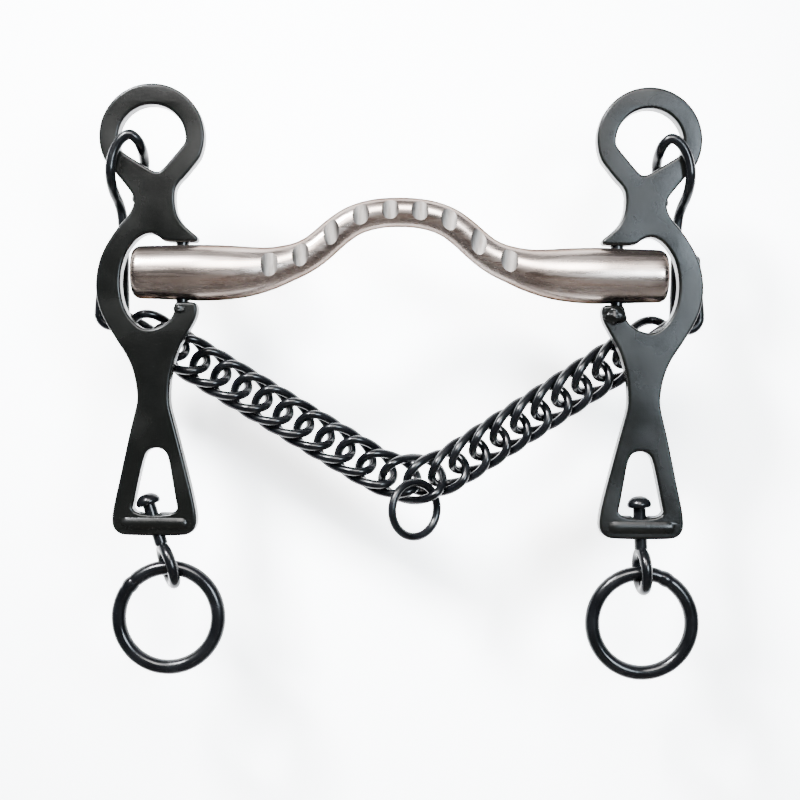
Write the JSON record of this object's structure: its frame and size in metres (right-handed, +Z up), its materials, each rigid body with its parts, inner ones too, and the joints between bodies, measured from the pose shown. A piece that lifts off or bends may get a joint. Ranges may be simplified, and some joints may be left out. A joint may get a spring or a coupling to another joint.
{
  "type": "curb bit",
  "caption": "Ported curb bit with loose swept cheeks, swivelled rein rings, curb hooks and a double-mesh curb chain with a fly link.",
  "frame": {"origin": "middle of the mouthpiece, on the axis of its two straight ends", "axes": "+X to the viewer's right along the mouthpiece, +Y backwards to the chain's side, +Z up towards the cheek eyes"},
  "size_m": [0.1972, 0.0271, 0.1869],
  "materials": {
    "stainless": "satin brushed",
    "black_steel": "satin to glossy black"
  },
  "bodies": {
    "mouthpiece": {"mouthpiece": "stainless"},
    "left_cheek": {"left_cheek": "black_steel", "left_cheek_pin": "black_steel"},
    "left_curb_hook": {"left_curb_hook": "black_steel"},
    "left_swivel": {"left_swivel": "black_steel"},
    "left_rein_ring": {"left_rein_ring": "black_steel"},
    "right_cheek": {"right_cheek": "black_steel", "right_cheek_pin": "black_steel"},
    "right_curb_hook": {"right_curb_hook": "black_steel"},
    "right_swivel": {"right_swivel": "black_steel"},
    "right_rein_ring": {"right_rein_ring": "black_steel"},
    "curb_chain": {"chain_link_01": "black_steel", "chain_link_26": "black_steel"},
    "link_02": {"chain_link_02": "black_steel"},
    "link_03": {"chain_link_03": "black_steel"},
    "link_04": {"chain_link_04": "black_steel"},
    "link_05": {"chain_link_05": "black_steel"},
    "link_06": {"chain_link_06": "black_steel"},
    "link_07": {"chain_link_07": "black_steel"},
    "link_08": {"chain_link_08": "black_steel"},
    "link_09": {"chain_link_09": "black_steel"},
    "link_10": {"chain_link_10": "black_steel"},
    "link_11": {"chain_link_11": "black_steel"},
    "link_12": {"chain_link_12": "black_steel"},
    "link_13": {"chain_link_13": "black_steel"},
    "link_14": {"chain_link_14": "black_steel"},
    "link_15": {"chain_link_15": "black_steel"},
    "link_16": {"chain_link_16": "black_steel"},
    "link_17": {"chain_link_17": "black_steel"},
    "link_18": {"chain_link_18": "black_steel"},
    "link_19": {"chain_link_19": "black_steel"},
    "link_20": {"chain_link_20": "black_steel"},
    "link_21": {"chain_link_21": "black_steel"},
    "link_22": {"chain_link_22": "black_steel"},
    "link_23": {"chain_link_23": "black_steel"},
    "link_24": {"chain_link_24": "black_steel"},
    "link_25": {"chain_link_25": "black_steel"},
    "fly_link": {"fly_link": "black_steel"}
  },
  "joints": [
    {"name": "left_cheek_swing", "type": "hinge", "parent": "mouthpiece", "child": "left_cheek", "pos_m": [-0.0686, 0, 0], "axis": [0, 0, 1], "range_deg": [-1, 15]},
    {"name": "left_hook_swing", "type": "hinge", "parent": "left_cheek", "child": "left_curb_hook", "pos_m": [-0.0861, 0, 0.0325], "axis": [0.8266, -0.5627, 0], "range_deg": [-0.8, 8.5]},
    {"name": "left_swivel_turn", "type": "hinge", "parent": "left_cheek", "child": "left_swivel", "pos_m": [-0.0766, 0, -0.0796], "axis": [0.309, 0, -0.9511], "continuous": true},
    {"name": "left_rein_ring_swing", "type": "hinge", "parent": "left_swivel", "child": "left_rein_ring", "pos_m": [-0.07219, 0, -0.09318], "axis": [1, 0, 0], "range_deg": [-85, 85]},
    {"name": "right_cheek_swing", "type": "hinge", "parent": "mouthpiece", "child": "right_cheek", "pos_m": [0.0686, 0, 0], "axis": [0, 0, -1], "range_deg": [-1, 15]},
    {"name": "right_hook_swing", "type": "hinge", "parent": "right_cheek", "child": "right_curb_hook", "pos_m": [0.0861, 0, 0.0325], "axis": [0.8266, 0.5627, 0], "range_deg": [-0.8, 8.5]},
    {"name": "right_swivel_turn", "type": "hinge", "parent": "right_cheek", "child": "right_swivel", "pos_m": [0.0766, 0, -0.0796], "axis": [0.0523, 0, -0.9986], "continuous": true},
    {"name": "right_rein_ring_swing", "type": "hinge", "parent": "right_swivel", "child": "right_rein_ring", "pos_m": [0.07735, 0, -0.09385], "axis": [1, 0, 0], "range_deg": [-85, 85]},
    {"name": "chain_swing", "type": "hinge", "parent": "mouthpiece", "child": "curb_chain", "pos_m": [0, 0.011, -0.0115], "axis": [1, 0, 0], "range_deg": [-3, 15]},
    {"name": "link_02_roll", "type": "hinge", "parent": "curb_chain", "child": "link_02", "pos_m": [-0.07804, 0.011, -0.02034], "axis": [0.861, 0, -0.5086], "range_deg": [-2, 2]},
    {"name": "link_03_roll", "type": "hinge", "parent": "curb_chain", "child": "link_03", "pos_m": [-0.07126, 0.011, -0.02434], "axis": [0.861, 0, -0.5086], "range_deg": [-4, 4]},
    {"name": "link_04_roll", "type": "hinge", "parent": "curb_chain", "child": "link_04", "pos_m": [-0.06448, 0.011, -0.02834], "axis": [0.861, 0, -0.5086], "range_deg": [-6, 6]},
    {"name": "link_05_roll", "type": "hinge", "parent": "curb_chain", "child": "link_05", "pos_m": [-0.05771, 0.011, -0.03235], "axis": [0.861, 0, -0.5086], "range_deg": [-7.5, 7.5]},
    {"name": "link_06_roll", "type": "hinge", "parent": "curb_chain", "child": "link_06", "pos_m": [-0.05093, 0.011, -0.03635], "axis": [0.861, 0, -0.5086], "range_deg": [-9, 9]},
    {"name": "link_07_roll", "type": "hinge", "parent": "curb_chain", "child": "link_07", "pos_m": [-0.04415, 0.011, -0.04035], "axis": [0.861, 0, -0.5086], "range_deg": [-10.5, 10.5]},
    {"name": "link_08_roll", "type": "hinge", "parent": "curb_chain", "child": "link_08", "pos_m": [-0.03737, 0.011, -0.04436], "axis": [0.861, 0, -0.5086], "range_deg": [-12, 12]},
    {"name": "link_09_roll", "type": "hinge", "parent": "curb_chain", "child": "link_09", "pos_m": [-0.03059, 0.011, -0.04836], "axis": [0.861, 0, -0.5086], "range_deg": [-13, 13]},
    {"name": "link_10_roll", "type": "hinge", "parent": "curb_chain", "child": "link_10", "pos_m": [-0.02381, 0.011, -0.05237], "axis": [0.861, 0, -0.5086], "range_deg": [-14, 14]},
    {"name": "link_11_roll", "type": "hinge", "parent": "curb_chain", "child": "link_11", "pos_m": [-0.01703, 0.011, -0.05637], "axis": [0.861, 0, -0.5086], "range_deg": [-14.5, 14.5]},
    {"name": "link_12_roll", "type": "hinge", "parent": "curb_chain", "child": "link_12", "pos_m": [-0.01025, 0.011, -0.06037], "axis": [0.861, 0, -0.5086], "range_deg": [-15, 15]},
    {"name": "link_13_roll", "type": "hinge", "parent": "curb_chain", "child": "link_13", "pos_m": [-0.00315, 0.011, -0.06372], "axis": [0.9563, 0, -0.2924], "range_deg": [-15, 15]},
    {"name": "link_14_roll", "type": "hinge", "parent": "curb_chain", "child": "link_14", "pos_m": [0.00461, 0.011, -0.06525], "axis": [1, 0, 0.007], "range_deg": [-15, 15]},
    {"name": "link_15_roll", "type": "hinge", "parent": "curb_chain", "child": "link_15", "pos_m": [0.01235, 0.011, -0.06361], "axis": [0.9527, 0, 0.304], "range_deg": [-15, 15]},
    {"name": "link_16_roll", "type": "hinge", "parent": "curb_chain", "child": "link_16", "pos_m": [0.01938, 0.011, -0.06013], "axis": [0.8344, 0, 0.5512], "range_deg": [-14.5, 14.5]},
    {"name": "link_17_roll", "type": "hinge", "parent": "curb_chain", "child": "link_17", "pos_m": [0.02595, 0.011, -0.05579], "axis": [0.8344, 0, 0.5512], "range_deg": [-14, 14]},
    {"name": "link_18_roll", "type": "hinge", "parent": "curb_chain", "child": "link_18", "pos_m": [0.03252, 0.011, -0.05145], "axis": [0.8344, 0, 0.5512], "range_deg": [-13, 13]},
    {"name": "link_19_roll", "type": "hinge", "parent": "curb_chain", "child": "link_19", "pos_m": [0.03909, 0.011, -0.04711], "axis": [0.8344, 0, 0.5512], "range_deg": [-12, 12]},
    {"name": "link_20_roll", "type": "hinge", "parent": "curb_chain", "child": "link_20", "pos_m": [0.04566, 0.011, -0.04277], "axis": [0.8344, 0, 0.5512], "range_deg": [-10.5, 10.5]},
    {"name": "link_21_roll", "type": "hinge", "parent": "curb_chain", "child": "link_21", "pos_m": [0.05223, 0.011, -0.03843], "axis": [0.8344, 0, 0.5512], "range_deg": [-9, 9]},
    {"name": "link_22_roll", "type": "hinge", "parent": "curb_chain", "child": "link_22", "pos_m": [0.0588, 0.011, -0.03409], "axis": [0.8344, 0, 0.5512], "range_deg": [-7.5, 7.5]},
    {"name": "link_23_roll", "type": "hinge", "parent": "curb_chain", "child": "link_23", "pos_m": [0.06537, 0.011, -0.02975], "axis": [0.8344, 0, 0.5512], "range_deg": [-6, 6]},
    {"name": "link_24_roll", "type": "hinge", "parent": "curb_chain", "child": "link_24", "pos_m": [0.07193, 0.011, -0.02541], "axis": [0.8344, 0, 0.5512], "range_deg": [-4, 4]},
    {"name": "link_25_roll", "type": "hinge", "parent": "curb_chain", "child": "link_25", "pos_m": [0.0785, 0.011, -0.02108], "axis": [0.8344, 0, 0.5512], "range_deg": [-2, 2]},
    {"name": "fly_link_swing", "type": "hinge", "parent": "link_14", "child": "fly_link", "pos_m": [0.0054, 0.0056, -0.06895], "axis": [1, 0, 0], "range_deg": [-8, 2]}
  ],
  "couplings": [
    {"joint": "left_hook_swing", "follows": "left_cheek_swing", "ratio": 0.55},
    {"joint": "right_hook_swing", "follows": "right_cheek_swing", "ratio": 0.55},
    {"joint": "link_02_roll", "follows": "link_14_roll", "ratio": 0.13},
    {"joint": "link_03_roll", "follows": "link_14_roll", "ratio": 0.25},
    {"joint": "link_04_roll", "follows": "link_14_roll", "ratio": 0.37},
    {"joint": "link_05_roll", "follows": "link_14_roll", "ratio": 0.48},
    {"joint": "link_06_roll", "follows": "link_14_roll", "ratio": 0.59},
    {"joint": "link_07_roll", "follows": "link_14_roll", "ratio": 0.68},
    {"joint": "link_08_roll", "follows": "link_14_roll", "ratio": 0.77},
    {"joint": "link_09_roll", "follows": "link_14_roll", "ratio": 0.84},
    {"joint": "link_10_roll", "follows": "link_14_roll", "ratio": 0.9},
    {"joint": "link_11_roll", "follows": "link_14_roll", "ratio": 0.95},
    {"joint": "link_12_roll", "follows": "link_14_roll", "ratio": 0.98},
    {"joint": "link_13_roll", "follows": "link_14_roll", "ratio": 1},
    {"joint": "link_15_roll", "follows": "link_14_roll", "ratio": 0.98},
    {"joint": "link_16_roll", "follows": "link_14_roll", "ratio": 0.95},
    {"joint": "link_17_roll", "follows": "link_14_roll", "ratio": 0.9},
    {"joint": "link_18_roll", "follows": "link_14_roll", "ratio": 0.84},
    {"joint": "link_19_roll", "follows": "link_14_roll", "ratio": 0.77},
    {"joint": "link_20_roll", "follows": "link_14_roll", "ratio": 0.68},
    {"joint": "link_21_roll", "follows": "link_14_roll", "ratio": 0.59},
    {"joint": "link_22_roll", "follows": "link_14_roll", "ratio": 0.48},
    {"joint": "link_23_roll", "follows": "link_14_roll", "ratio": 0.37},
    {"joint": "link_24_roll", "follows": "link_14_roll", "ratio": 0.25},
    {"joint": "link_25_roll", "follows": "link_14_roll", "ratio": 0.13}
  ]
}
